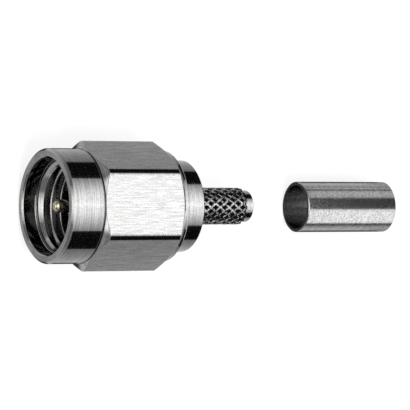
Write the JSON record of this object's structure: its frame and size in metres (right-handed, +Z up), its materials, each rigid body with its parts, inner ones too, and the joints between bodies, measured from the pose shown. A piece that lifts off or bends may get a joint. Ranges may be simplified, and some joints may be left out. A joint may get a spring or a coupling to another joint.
{
  "type": "straight crimp coaxial plug with threaded coupling nut",
  "caption": "Straight coaxial plug with a hexagon coupling nut, centre pin and knurled crimp stem, and its loose crimp ferrule.",
  "frame": {"origin": "on the connector's axis at the mating plane, the front face of the outer contact", "axes": "+X along the axis towards the cable, +Z up from the hexagon's lower flat to its upper flat, the socket comes on from -X"},
  "size_m": [0.0292, 0.009, 0.008],
  "materials": {
    "nut_metal": "fine turned and brushed, satin to bright",
    "body_metal": "fine turned, bright",
    "spring_bronze": "plain",
    "silicone": "matt",
    "ptfe": "smooth, waxy",
    "contact_gold": "thin gold plate, smooth",
    "ferrule_metal": "drawn tube, nickel plated, satin"
  },
  "bodies": {
    "plug": {"body": "body_metal", "gasket": "silicone", "dielectric": "ptfe", "centre_contact": "contact_gold", "crimp_ferrule": "ferrule_metal"},
    "ring": {"retaining_ring": "spring_bronze"},
    "nut": {"coupling_nut": "nut_metal"}
  },
  "joints": [
    {"name": "nut_float", "type": "slide", "parent": "plug", "child": "ring", "axis": [-1, 0, 0], "range_m": [0, 0.0005]},
    {"name": "nut_turn", "type": "hinge", "parent": "ring", "child": "nut", "pos_m": [0.0046, 0, 0], "axis": [1, 0, 0], "continuous": true}
  ]
}
